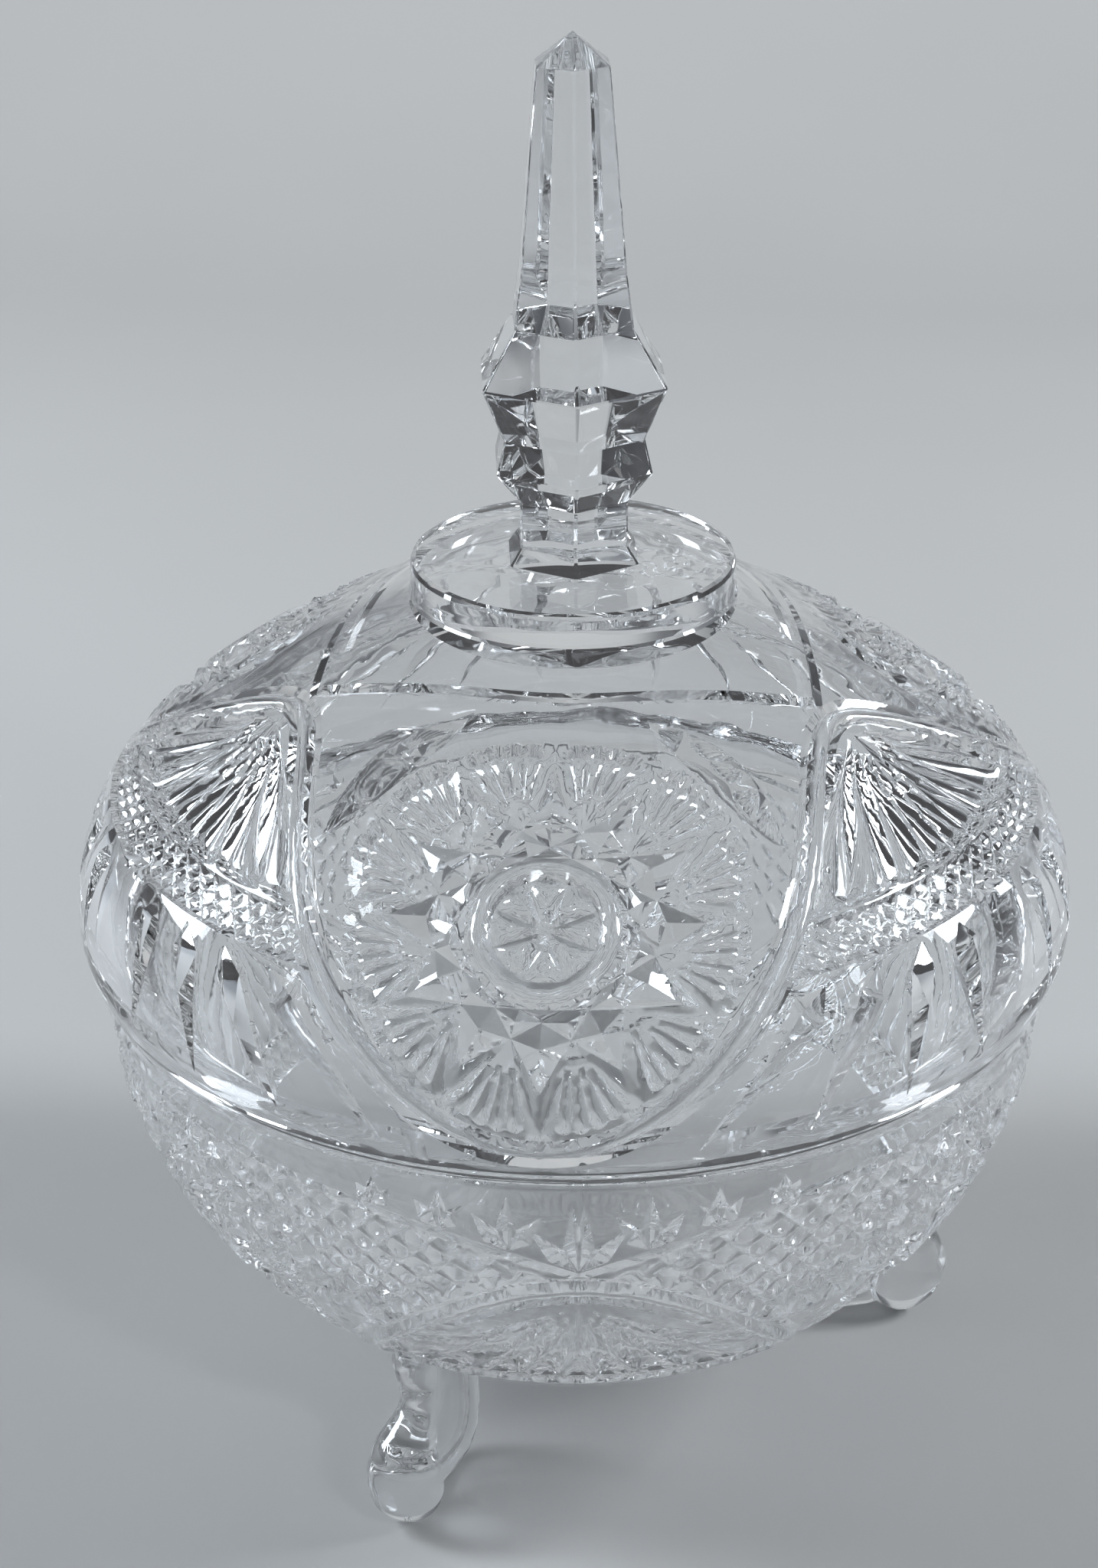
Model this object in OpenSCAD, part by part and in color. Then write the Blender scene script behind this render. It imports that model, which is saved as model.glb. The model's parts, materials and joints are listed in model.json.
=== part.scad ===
// Covered candy jar of clear pressed crystal, millimetres, +Z up.
// The jar stands on z = 0 with its axis on Z, and its front looks along -Y.

/* [Bowl] */
// Outer diameter of the bowl at its rim
bowl_d = 139; // [120:1:160]
// Clear height under the middle of the bowl
under_h = 13; // [9:0.5:20]
// Radius of the curve from the bowl's side to its base
bowl_curve_r = 55; // [45:1:60]
// Height of the upright band below the rim
bowl_band_h = 6; // [5:0.5:14]
// Thickness of the bowl's wall and floor
bowl_wall = 4.5; // [3.5:0.5:7]

/* [Lid] */
// Overhang of the lid's belly beyond the bowl, on the radius
lid_overhang = 2.8; // [1.6:0.2:6]
// Height of the lid's belly above the bowl's rim
belly_h = 6; // [5:0.5:7]
// Radius of the rounded edge below the belly
edge_r = 9; // [8:0.5:12]
// Radius of the lid's shoulder
shoulder_r = 32; // [28:1:36]
// Radius of the lid's crown
crown_r = 170; // [140:5:220]
// Thickness of the lid's wall
lid_wall = 4.5; // [3.5:0.5:6]

/* [Seat] */
// Gap between the lid's ring and the bowl's mouth, on the radius
seat_gap = 0.4; // [0.3:0.05:1]
// Thickness of the lid's ring
ring_t = 2.6; // [2:0.2:4]
// Depth of the lid's ring below the rim
ring_h = 3.5; // [2.5:0.5:5]

/* [Finial] */
// Diameter of the collar disc
collar_d = 45.4; // [38:0.2:54]
// Height of the collar disc
collar_h = 5; // [3.5:0.5:8]
// Distance across the corners of the neck
neck_w = 17; // [14:0.5:19]
// Distance across the corners of the small knob
small_knob_w = 24.4; // [20:0.2:27]
// Distance across the corners of the waist between the knobs
waist_w = 22; // [18:0.5:24]
// Distance across the corners of the large knob
large_knob_w = 28.6; // [25:0.2:34]
// Distance across the corners of the spire at its foot
spire_foot_w = 18.4; // [16:0.2:22]
// Distance across the corners of the spire above its flared foot
spire_w = 16.2; // [13:0.2:18]
// Distance across the corners of the spire below its point
spire_tip_w = 11.2; // [8:0.2:13]
// Height of the flare from the collar up to the neck
skirt_h = 4.5; // [3:0.5:6]
// Height of the straight neck
neck_h = 4.4; // [3:0.2:7]
// Height of the small knob
small_knob_h = 9.4; // [7:0.2:12]
// Height of the large knob
large_knob_h = 15.1; // [12:0.1:20]
// Height of the spire's flared foot
spire_foot_h = 7.7; // [5:0.1:10]
// Height of the spire's long facets
spire_h = 26.3; // [18:0.1:36]
// Height of the spire's point
point_h = 4.1; // [2:0.1:7]
// Turn of the finial's front corner from the jar's front, in degrees
finial_turn = 6; // [0:1:59]

/* [Feet] */
// Number of degrees that the first foot is turned from the jar's front
foot_turn = -22.5; // [-60:0.5:60]
// Distance of the toe's outermost point inside the bowl's edge
toe_inset = 10.3; // [5:0.1:14]
// Length of the foot from its heel to its toe
foot_l = 18.7; // [15:0.1:23]
// Width of the rounded toe
toe_w = 8.8; // [7:0.2:11]
// Height of the rounded toe
toe_h = 16.4; // [14:0.2:19]
// Width of the pinched knuckle above the toe
knuckle_w = 5.8; // [4.5:0.1:7]
// Width of the shank where it runs into the bowl
shank_w = 7.8; // [6:0.2:10]
// Thickness of the web between the shank and the heel
web_t = 4.6; // [3:0.2:6]
// Depth to which the sole is ground flat
sole_grind = 0.3; // [0.1:0.1:0.6]

/* [Pattern] */
// Height of the frame wave from its trough to its crest, along the glass
wave_h = 50.5; // [46:0.5:53]
// Width of the smooth ridge that follows the wave
ridge_w = 2.8; // [2:0.2:4]
// Depth of the grooves beside that ridge
groove_deep = 1.1; // [0.6:0.1:1.6]
// Height of the arc that closes a panel, in the panel's middle and along the glass
arc_h = 63.8; // [60:0.2:66]
// Drop of that arc from the panel's middle to its corners
arc_drop = 10.3; // [8:0.1:12]
// Distance of that arc below the bowl's rim, along the glass
bowl_arc_gap = 5.2; // [4:0.1:9]
// Depth to which a panel is sunk
panel_deep = 0.5; // [0.3:0.1:0.9]
// Height of the star's middle on the lid, along the glass
lid_star_h = 29.6; // [27:0.2:32]
// Height of the star's middle on the bowl, along the glass
bowl_star_h = 35; // [32:0.5:37]
// Radius of the star's points
star_r = 20.9; // [18:0.1:22]
// Depth of the star's cuts
star_deep = 1.9; // [1:0.1:2.4]
// Radius of the button in the star's middle
button_r = 7.2; // [5:0.1:8]
// Width of the smooth ring around the button
ring_w = 2.7; // [2:0.1:3.2]
// Depth of the groove between the button and its ring
ring_deep = 1.3; // [0.6:0.1:2]
// Length of the shells between the star's points
shell_l = 10.2; // [7:0.1:11]
// Height at which the flutes of a fan end, along the glass
flute_end_h = 27; // [24:0.5:32]
// Angle of one flute at the fan's foot, in degrees
flute_a = 14; // [12:0.5:15]
// Depth of a flute
flute_deep = 1.7; // [0.8:0.1:2.2]
// Height of the widest place of the tapered cuts below a fan, along the glass
taper_h = 15.3; // [12:0.1:18]
// Width of the tapered cuts
taper_w = 5.6; // [3:0.2:7]
// Depth of the tapered cuts
taper_deep = 1.3; // [0.6:0.1:2]
// Width of the blade-shaped cuts in a panel's upper corners
blade_w = 5.4; // [3:0.2:7]
// Depth of the blade-shaped cuts
blade_deep = 1.7; // [0.8:0.1:2.2]
// Turn of the bowl's first star from the jar's front, in degrees
bowl_star_turn = 64; // [0:1:119]

/* [Hidden] */
glass = [0.86, 0.90, 0.93, 0.55];
$fn = 128;
hull_fn = 24;
eps = 0.01;
feet = 3;
hexagon = 6;

// Bowl: the curve's centre, the rim's height and the mouth's radius
bowl_c_r = bowl_d / 2 - bowl_curve_r;
bowl_c_z = under_h + bowl_curve_r;
rim_z = bowl_c_z + bowl_band_h;
mouth_r = bowl_d / 2 - bowl_wall;

// Lid: the belly's height and radius, the shoulder's centre, the edge's centre, and the crown's centre,
// which lies on the line from which the crown runs smoothly into the shoulder
belly_z = rim_z + belly_h;
lid_r = bowl_d / 2 + lid_overhang;
shoulder_c_r = lid_r - shoulder_r;
edge_c_r = lid_r - edge_r;
crown_dir = [0.6, 0.8];
crown_c = [shoulder_c_r, belly_z] - (crown_r - shoulder_r) * crown_dir;
ring_out_r = mouth_r - seat_gap;
ring_in_r = ring_out_r - ring_t;
land_z = crown_c[1] + sqrt(pow(crown_r, 2) - pow(collar_d / 2 - crown_c[0], 2));
collar_z = land_z + collar_h;

// Feet: the reach of the toe and of the heel from the axis
toe_reach = bowl_d / 2 - toe_inset;
heel_r = toe_reach - foot_l;

// Pattern: a place on the glass is an angle from the front, a distance along the profile and a height
// above it. The lid counts the distance from its belly, and the bowl from a ring near its base.
panels = 3;
star_points = 12;
lift = 1.2;
deg = 180 / PI;
half_panel = 180 / panels;
ray = 360 / star_points;
crown_a = atan2(crown_dir[1], crown_dir[0]);
shoulder_l = shoulder_r * crown_a / deg;
bowl_pattern_h = arc_h + bowl_arc_gap;
star_bend_r = 2 * star_r;

// Point of a turned profile, on an arc with a centre, a radius and an angle
function turned(phi, centre, r, a) =
    let(out = centre[0] + r * cos(a)) [out * sin(phi), -out * cos(phi), centre[1] + r * sin(a)];

lid_skin = function(phi, v, h)
    v < 0 ? turned(phi, [edge_c_r, belly_z], edge_r + h, v / edge_r * deg)
    : v < shoulder_l ? turned(phi, [shoulder_c_r, belly_z], shoulder_r + h, v / shoulder_r * deg)
    : turned(phi, crown_c, crown_r + h, crown_a + (v - shoulder_l) / crown_r * deg);

bowl_skin = function(phi, v, h)
    let(down = bowl_pattern_h - v - bowl_band_h)
        down < 0 ? turned(phi, [bowl_d / 2, bowl_c_z - down], h, 0)
        : turned(phi, [bowl_c_r, bowl_c_z], bowl_curve_r + h, -down / bowl_curve_r * deg);

// Radius of the glass at a distance along its profile, and the angle that a length covers there
function skin_r(skin, v) = -skin(0, v, 0)[1];
function turn(skin, v, length) = length / skin_r(skin, v) * deg;

// Frame wave: its height at an angle, and how much longer than square a drop from it is
function wave(phi) = wave_h / 2 * (1 - cos(panels * phi));
function wave_slant(skin, phi, v) =
    sqrt(1 + pow(panels * wave_h / 2 * sin(panels * phi) / skin_r(skin, v), 2));

// Height of the arc above a panel
function arc_top(phi) = arc_h - arc_drop * pow(abs(phi) / half_panel, 3);

// Place at a distance and a direction from the star's middle; below it the star is drawn out a little
function star_spot(skin, star_h, rho, a) =
    let(
        w = rho * sin(a),
        v = star_h + (w < 0 ? star_bend_r * asin(w / star_bend_r) / deg : w)
    ) [turn(skin, v, rho * cos(a)), v];

// Whether a place lies in the panel, and how far the panel's edge is from the star's middle
function in_panel(skin, spot) =
    abs(spot[0]) < half_panel && spot[1] < arc_top(spot[0])
    && (spot[1] - wave(spot[0])) / wave_slant(skin, spot[0], spot[1]) > ridge_w / 2;
function panel_reach(skin, star_h, a, low, high, steps = 16) =
    steps == 0 ? low
    : let(mid = (low + high) / 2)
        in_panel(skin, star_spot(skin, star_h, mid, a))
        ? panel_reach(skin, star_h, a, mid, high, steps - 1)
        : panel_reach(skin, star_h, a, low, mid, steps - 1);

// Height of the bowl's underside at a distance from the axis
function underside(r) = bowl_c_z - sqrt(pow(bowl_curve_r, 2) - pow(max(r - bowl_c_r, 0), 2));

// Running total of the first n heights in a list
function rise(list, n) = n == 0 ? 0 : list[n - 1] + rise(list, n - 1);

// Cutter over rows of places, listed from below upwards; a row's first and last place are in the air
module grid_cut(skin, grid, closed = false) {
    m = len(grid);
    n = len(grid[0]);
    steps = closed ? m : m - 1;
    sides = [
        for (i = [0:steps - 1])
            for (j = [0:n - 1])
                let(a = i * n + j, b = (i + 1) % m * n + j, up = j < n - 1 ? 1 : 1 - n)
                    each [[a, b, b + up], [a, b + up, a + up]]
    ];
    last = (m - 1) * n;
    ends = closed ? [] : [for (j = [1:n - 2]) each [[0, j, j + 1], [last, last + j + 1, last + j]]];
    polyhedron([for (row = grid) for (p = row) skin(p[0], p[1], p[2])], concat(sides, ends));
}

// Groove along the outer side of the frame wave, all the way round
module wave_cut(skin) {
    step = 6;
    middle = ridge_w / 2 + groove_deep;
    reach = groove_deep + lift;
    grid = [
        for (phi = [0:step:360 - step])
            let(slant = wave_slant(skin, phi, wave(phi)))
                [
                    for (place = [[middle + reach, lift], [middle, -groove_deep], [middle - reach, lift]])
                        [phi, wave(phi) - place[0] * slant, place[1]]
                ]
    ];
    grid_cut(skin, grid, closed = true);
}

// Fan of hollow flutes below a crest of the wave
module fan_cut(skin) {
    flutes = 7;
    fan_h = wave_h - ridge_w;
    // Share of the way along a flute, and share of its depth there
    stops = [[0.08, 0.1], [0.88, 1], [1, 0]];
    grid = [
        for (i = [flutes:-1:-flutes])
            let(
                theta = i * flute_a / 2,
                deep = abs(i) % 2 == 0 ? flute_deep : 0,
                floor = [for (stop = stops) [stop[0], -panel_deep / 4 - deep * stop[1]]],
                row = concat([[0.06, 5 * lift]], floor, [[1.03, 5 * lift]])
            )
                [
                    for (p = row)
                        let(drop = (fan_h - flute_end_h) * p[0], v = fan_h - drop)
                            [half_panel + turn(skin, v, drop * tan(theta)), v, p[1]]
                ]
    ];
    grid_cut(skin, grid);
}

// Long V cut below a fan, widest near its top and pointed at its foot; k counts them from the fan's middle
module taper_cut(skin, k) {
    top_phi = half_panel - 8.5 - 7.5 * k;
    foot_phi = half_panel - 8 - 12 * k;
    foot_h = -0.6;
    spread = 1 + lift / taper_deep;
    // Share of the way from the foot to the top, and share of the width there
    stops = [[0, eps], [0.5, 0.5], [1, 1], [1.22, eps]];
    grid = [
        for (side = [-1, 0, 1])
            [
                for (stop = stops)
                    let(v = foot_h + (taper_h - foot_h) * stop[0])
                        [
                            foot_phi + (top_phi - foot_phi) * stop[0]
                                + turn(skin, v, side * taper_w / 2 * spread * stop[1]),
                            v,
                            lift - (side == 0 ? (taper_deep + lift) * stop[1] : 0)
                        ]
            ]
    ];
    rows = [for (j = [0:len(stops) - 1]) [for (i = [2:-1:0]) grid[i][j]]];
    grid_cut(skin, rows);
}

// Blade-shaped cut across an upper corner of a panel, steep on the star's side
module blade_cut(skin, star_h) {
    low = [31.4, 7.4];
    high = [12.3, 27.3];
    way = (high - low) / norm(high - low);
    out = [way[1], -way[0]];
    steep = 0.8;
    edge = lift / 4;
    deep = blade_deep + edge;
    grid = [
        for (t = [0.01, 0.3, 0.7, 0.99])
            let(swell = 4 * t * (1 - t))
                [
                    for (place = [[blade_w * swell + steep, edge], [0, edge - deep * swell], [-steep, edge]])
                        let(p = low + (high - low) * t + out * place[0], v = star_h + p[1])
                            [turn(skin, v, p[0]), v, place[1]]
                ]
    ];
    grid_cut(skin, grid);
}

// Sunk panel with its star: button, ring, twelve points of mitre cuts, and a shell in each notch
module panel_cut(skin, star_h) {
    inner = star_r / 2;
    notch = inner / cos(1.5 * ray);
    shell_deep = star_deep * 0.6;
    shell_r = notch + shell_l;
    // Places of one point of the star and the notch beside it: distance, angle and height
    sector = [
        [button_r, 0, -ring_deep],
        [button_r + ring_w / 2, 0, -ring_deep / 5],
        [inner / cos(ray), 0, -star_deep],
        [star_r / (cos(ray) + cos(2 * ray)), 0, -star_deep / 8],
        [star_r, 0, -star_deep],
        [shell_r, 0, -shell_deep],
        [inner / cos(ray / 2), ray / 2, -star_deep],
        [star_r / (cos(ray / 2) + cos(1.5 * ray)), ray / 2, -star_deep / 3],
        [notch, ray / 2, -star_deep],
        [shell_r, ray / 3, -panel_deep],
        [shell_r, -ray / 3, -panel_deep]
    ];
    n = len(sector);
    star = [for (k = [0:star_points - 1]) for (p = sector) [p[0], p[1] + k * ray - 90, p[2]]];
    middle = star_points * n;
    // Facets from a point to the notch on its left; those to its right are their mirror image
    left = [[1, 2, 6], [6, 2, 7], [7, 2, 8], [2, 3, 8], [3, 4, 8], [8, 4, 5], [8, 5, 9]];
    function right(k, i) =
        i < 6 ? k * n + i
        : i < 9 ? (k + star_points - 1) % star_points * n + i
        : k * n + i + 1;
    star_faces = [
        for (k = [0:star_points - 1])
            let(a = k * n, b = (k + 1) % star_points * n)
                each concat(
                    [[middle, a, b], [a, a + 1, b + 1], [a, b + 1, b]],
                    [[a + 1, a + 6, b + 1], [a + 8, a + 9, b + 10]],
                    [for (f = left) [for (i = f) a + i]],
                    [for (f = left) [for (i = [2:-1:0]) right(k, f[i])]]
                )
    ];
    // Ground around the star: from its shells out to the foot of the ridge, and up the ridge into the air
    air = 6 * lift;
    rim = [for (k = [0:star_points - 1]) each [k * n + 5, k * n + 9, ((k + 1) * n + 10) % middle]];
    m = len(rim);
    edge = [for (i = rim) panel_reach(skin, star_h, star[i][1], shell_r + ridge_w / 8, 2 * arc_h)];
    ground = concat(
        [for (j = [0:m - 1]) [(shell_r + edge[j]) / 2, star[rim[j]][1], -panel_deep]],
        [for (j = [0:m - 1]) [edge[j], star[rim[j]][1], -groove_deep]],
        [for (j = [0:m - 1]) [edge[j] + (groove_deep + air) * 0.6, star[rim[j]][1], air]]
    );
    first = middle + 1;
    loops = concat([rim], [for (k = [0:2]) [for (j = [0:m - 1]) first + k * m + j]]);
    ground_faces = [
        for (k = [0:2])
            for (j = [0:m - 1])
                let(next = (j + 1) % m, a = loops[k][j], b = loops[k][next], c = loops[k + 1][next])
                    each [[a, loops[k + 1][j], c], [a, c, b]]
    ];
    peak = first + 3 * m;
    roof = [for (j = [0:m - 1]) [loops[3][j], peak, loops[3][(j + 1) % m]]];
    places = concat(star, [[0, 0, -ring_deep / 2]], ground, [[0, 0, 3 * air]]);
    polyhedron(
        [for (p = places) let(spot = star_spot(skin, star_h, p[0], p[1])) skin(spot[0], spot[1], p[2])],
        concat(star_faces, ground_faces, roof)
    );
}

// What the lid and the bowl share: the frame wave, the panels with their stars, and the fans between them
module pattern_cut(skin, star_h) {
    wave_cut(skin);
    for (k = [0:panels - 1])
        rotate(2 * k * half_panel) {
            panel_cut(skin, star_h);
            fan_cut(skin);
        }
}

// Half section of the bowl's outside, or of its inside when inset by the wall
module bowl_section(inset, top) {
    r = bowl_curve_r - inset;
    intersection() {
        translate([bowl_c_r, bowl_c_z]) circle(r);
        translate([bowl_c_r, bowl_c_z - 2 * r]) square(2 * r);
    }
    translate([0, bowl_c_z - r]) square([bowl_c_r, r]);
    translate([0, bowl_c_z]) square([bowl_c_r + r, top - bowl_c_z]);
}

module bowl_form() {
    rotate_extrude() bowl_section(0, rim_z);
}

module bowl() {
    color(glass) difference() {
        rotate_extrude() difference() {
            bowl_section(0, rim_z);
            bowl_section(bowl_wall, rim_z + eps);
        }
        rotate(bowl_star_turn) pattern_cut(bowl_skin, bowl_star_h);
    }
}

// Half section of the dome above the belly, inset by a wall
module dome_section(inset) {
    r = shoulder_r - inset;
    meet = [shoulder_c_r, belly_z] + r * crown_dir;
    intersection() {
        translate([shoulder_c_r, belly_z]) circle(r);
        translate([meet[0], belly_z]) square(2 * r);
    }
    intersection() {
        translate(crown_c) circle(crown_r - inset);
        translate([0, belly_z]) square([meet[0], land_z - inset - belly_z]);
    }
}

module lid_form() {
    rotate_extrude() difference() {
        union() {
            dome_section(0);
            intersection() {
                translate([edge_c_r, belly_z]) circle(edge_r);
                translate([edge_c_r, rim_z]) square([2 * edge_r, belly_h]);
            }
            translate([0, rim_z]) square([edge_c_r, belly_h]);
            translate([0, rim_z - ring_h]) square([ring_out_r, ring_h]);
        }
        dome_section(lid_wall);
        polygon([
            [0, rim_z - ring_h - eps],
            [ring_in_r, rim_z - ring_h - eps],
            [ring_in_r, rim_z],
            [lid_r - lid_wall, belly_z],
            [0, belly_z]
        ]);
    }
}

module lid() {
    color(glass) difference() {
        lid_form();
        pattern_cut(lid_skin, lid_star_h);
        for (k = [0:panels - 1])
            for (side = [0, 1])
                rotate(2 * k * half_panel) mirror([side, 0, 0]) {
                    for (taper = [0:2]) taper_cut(lid_skin, taper);
                    blade_cut(lid_skin, lid_star_h);
                }
    }
}

// Six-sided solid through a list of levels, each a height and a width across corners, up to a point
module spire(levels, tip_z) {
    n = len(levels);
    corners = [
        for (level = levels)
            for (k = [0:hexagon - 1])
                let(a = 360 / hexagon * k - 90 + finial_turn)
                    [level[1] / 2 * cos(a), level[1] / 2 * sin(a), level[0]]
    ];
    base = [for (k = [0:hexagon - 1]) k];
    sides = [
        for (i = [0:n - 2])
            for (k = [0:hexagon - 1])
                let(a = i * hexagon + k, b = i * hexagon + (k + 1) % hexagon)
                    [a, a + hexagon, b + hexagon, b]
    ];
    last = (n - 1) * hexagon;
    point = [for (k = [0:hexagon - 1]) [last + k, n * hexagon, last + (k + 1) % hexagon]];
    polyhedron(concat(corners, [[0, 0, tip_z]]), concat([base], sides, point));
}

module finial() {
    steps = [
        skirt_h, neck_h, small_knob_h / 2, small_knob_h / 2, large_knob_h / 2, large_knob_h / 2,
        spire_foot_h, spire_h, point_h
    ];
    widths = [
        neck_w + 2 * skirt_h, neck_w, neck_w, small_knob_w, waist_w, large_knob_w,
        spire_foot_w, spire_w, spire_tip_w
    ];
    levels = [for (i = [0:len(widths) - 1]) [collar_z + rise(steps, i), widths[i]]];
    color(glass) union() {
        translate([0, 0, land_z]) cylinder(h = collar_h, d = collar_d);
        spire(levels, collar_z + rise(steps, len(steps)));
    }
}

// Ball in the foot's own plane, at a distance from the axis and a height
module ball(r, z, w) {
    translate([r, 0, z]) sphere(d = w, $fn = hull_fn);
}

// One scroll foot, standing out along +X
module scroll_foot() {
    toe_r = toe_w / 2;
    toe_c_r = toe_reach - toe_r;
    sole_r = toe_c_r - toe_r * 0.75;
    knuckle_r = toe_c_r - toe_r * 0.7;
    knuckle_z = toe_h + knuckle_w / 4;
    shank_r = knuckle_r - shank_w * 0.2;
    heel_round = (sole_r - heel_r) / 2;
    difference() {
        union() {
            hull() {
                ball(sole_r, toe_r - sole_grind, toe_w);
                ball(toe_c_r, toe_h / 2, toe_w);
                ball(toe_c_r - toe_r * 0.1, toe_h - toe_r, toe_w);
            }
            hull() {
                ball(toe_c_r - toe_r * 0.1, toe_h - toe_r, toe_w * 0.7);
                ball(knuckle_r, knuckle_z, knuckle_w);
            }
            hull() {
                ball(knuckle_r, knuckle_z, knuckle_w);
                ball(shank_r, underside(shank_r), shank_w);
            }
            rotate([90, 0, 0]) linear_extrude(web_t, center = true) {
                translate([heel_r + heel_round, heel_round]) circle(heel_round);
                translate([heel_r + heel_round, 0]) square([sole_r - heel_r - heel_round, heel_round]);
                translate([heel_r, heel_round]) square([shank_r - heel_r, underside(shank_r) - heel_round]);
                translate([shank_r, heel_round]) square([sole_r - shank_r, toe_h / 2]);
            }
        }
        translate([0, -toe_w, -toe_w]) cube([2 * toe_reach, 2 * toe_w, toe_w]);
        bowl_form();
    }
}

module foot(index) {
    color(glass) rotate(foot_turn - 90 + index * 360 / feet) scroll_foot();
}

module front_foot() {
    foot(0);
}

module right_foot() {
    foot(1);
}

module rear_foot() {
    foot(2);
}

bowl();
front_foot();
right_foot();
rear_foot();
lid();
finial();
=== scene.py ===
# %% [markdown]
# # A covered candy jar of pressed crystal
# The jar is clear glass all over: a round bowl on three scroll feet, and a loose domed lid with a faceted
# spire. Glass shows its shape through what it bends, so every cut of the pattern is real geometry here, not
# paint. All lengths below are millimetres until the last step of each piece, which turns them into
# Blender's metres.

# %% Open the frame
import json
import math

import bmesh
import bpy
import numpy as np
from mathutils import Matrix, Vector, geometry
from mathutils.kdtree import KDTree

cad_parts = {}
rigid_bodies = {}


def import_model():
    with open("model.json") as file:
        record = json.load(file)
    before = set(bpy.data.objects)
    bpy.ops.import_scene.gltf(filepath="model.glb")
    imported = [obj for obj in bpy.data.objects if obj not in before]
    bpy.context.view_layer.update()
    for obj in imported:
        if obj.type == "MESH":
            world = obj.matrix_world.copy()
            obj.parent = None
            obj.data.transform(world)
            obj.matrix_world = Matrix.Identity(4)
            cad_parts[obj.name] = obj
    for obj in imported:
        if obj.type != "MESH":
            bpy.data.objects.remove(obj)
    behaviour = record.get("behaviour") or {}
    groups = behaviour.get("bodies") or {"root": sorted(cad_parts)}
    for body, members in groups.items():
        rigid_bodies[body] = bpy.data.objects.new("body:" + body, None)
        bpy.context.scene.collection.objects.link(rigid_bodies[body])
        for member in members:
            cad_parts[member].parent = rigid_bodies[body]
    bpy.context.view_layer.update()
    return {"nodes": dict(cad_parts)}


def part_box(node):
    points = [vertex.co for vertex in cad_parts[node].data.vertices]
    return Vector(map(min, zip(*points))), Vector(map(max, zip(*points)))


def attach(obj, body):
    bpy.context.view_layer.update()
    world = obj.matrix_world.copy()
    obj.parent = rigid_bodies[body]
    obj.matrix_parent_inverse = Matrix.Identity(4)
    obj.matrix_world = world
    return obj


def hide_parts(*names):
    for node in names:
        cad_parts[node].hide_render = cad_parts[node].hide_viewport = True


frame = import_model()
MM = 0.001

# %% [markdown]
# ## Sizes
# The outer sizes come from the frame's solids, so the dressed jar keeps their box. The rest are the walls,
# curves and steps of the same jar, in its maker's terms.

# %% Sizes from the frame


def box_mm(node):
    """Lowest and highest corner of a solid, in millimetres."""
    low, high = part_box(node)
    return np.array(low) / MM, np.array(high) / MM


BOWL_LOW, BOWL_HIGH = box_mm("bowl")
LID_LOW, LID_HIGH = box_mm("lid")
FINIAL_HIGH = box_mm("finial")[1]
BOWL_R = BOWL_HIGH[0]
RIM_Z = BOWL_HIGH[2]
UNDER_Z = BOWL_LOW[2]
LID_R = max(*LID_HIGH[:2], *-LID_LOW[:2])
RING_Z = LID_LOW[2]
LAND_Z = LID_HIGH[2]
COLLAR_R = FINIAL_HIGH[0]
TIP_Z = FINIAL_HIGH[2]
WALL = 4.5
SIXTH = math.pi / 3
AROUND = 720
print("bowl radius %.1f, rim %.1f, lid radius %.1f, tip %.1f mm" % (BOWL_R, RIM_Z, LID_R, TIP_Z))

# %% [markdown]
# ## The two outsides
# The lid and the bowl are turned forms, so each outside is a profile spun about the jar's axis. Blender's
# Screw modifier could spin it, but every cut has to know where its place on the glass lies. So a place is
# given by an angle round the jar and a distance along the profile, and the functions below give the radius,
# the height and the direction that the surface faces there. The lid's profile is a run of three arcs, and
# the bowl's is a straight band over one arc.

# %% Profiles of the lid and the bowl
BELLY_H = 6
BELLY_Z = RIM_Z + BELLY_H
EDGE_R = 9
SHOULDER_R = 32
CROWN_R = 170
CROWN_WAY = (0.6, 0.8)
CROWN_TURN = math.atan2(CROWN_WAY[1], CROWN_WAY[0])
SHOULDER_L = SHOULDER_R * CROWN_TURN
SHOULDER_C = LID_R - SHOULDER_R
CROWN_C = np.array([SHOULDER_C, BELLY_Z]) - (CROWN_R - SHOULDER_R) * np.array(CROWN_WAY)
BOWL_CURVE = 55
BOWL_C = np.array([BOWL_R - BOWL_CURVE, UNDER_Z + BOWL_CURVE])
BOWL_BAND = RIM_Z - BOWL_C[1]
BOWL_TOP = 69.0


def lid_profile(v):
    """Radius, height and facing angle of the lid's outside, v along it above the belly."""
    v = np.asarray(v, float)
    on_shoulder = v < SHOULDER_L
    above = np.where(on_shoulder, v / SHOULDER_R, CROWN_TURN + (v - SHOULDER_L) / CROWN_R)
    turn = np.where(v < 0, v / EDGE_R, above)
    curve = np.where(v < 0, EDGE_R, np.where(on_shoulder, SHOULDER_R, CROWN_R))
    centre_r = np.where(v < 0, LID_R - EDGE_R, np.where(on_shoulder, SHOULDER_C, CROWN_C[0]))
    centre_z = np.where(on_shoulder, BELLY_Z, CROWN_C[1])
    return centre_r + curve * np.cos(turn), centre_z + curve * np.sin(turn), turn


def bowl_profile(v):
    """The same for the bowl, whose pattern hangs from its rim: v falls from BOWL_TOP at the rim."""
    down = BOWL_TOP - np.asarray(v, float)
    turn = np.where(down < BOWL_BAND, 0.0, (BOWL_BAND - down) / BOWL_CURVE)
    z = np.where(down < BOWL_BAND, RIM_Z - down, BOWL_C[1] + BOWL_CURVE * np.sin(turn))
    return BOWL_C[0] + BOWL_CURVE * np.cos(turn), z, turn


def on_skin(profile, phi, v, h):
    """Points on a turned outside, raised by h; the angle phi runs from the front to the right."""
    r, z, turn = profile(v)
    r = r + h * np.cos(turn)
    return np.stack([r * np.sin(phi), -r * np.cos(phi), z + h * np.sin(turn)], -1)


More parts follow.
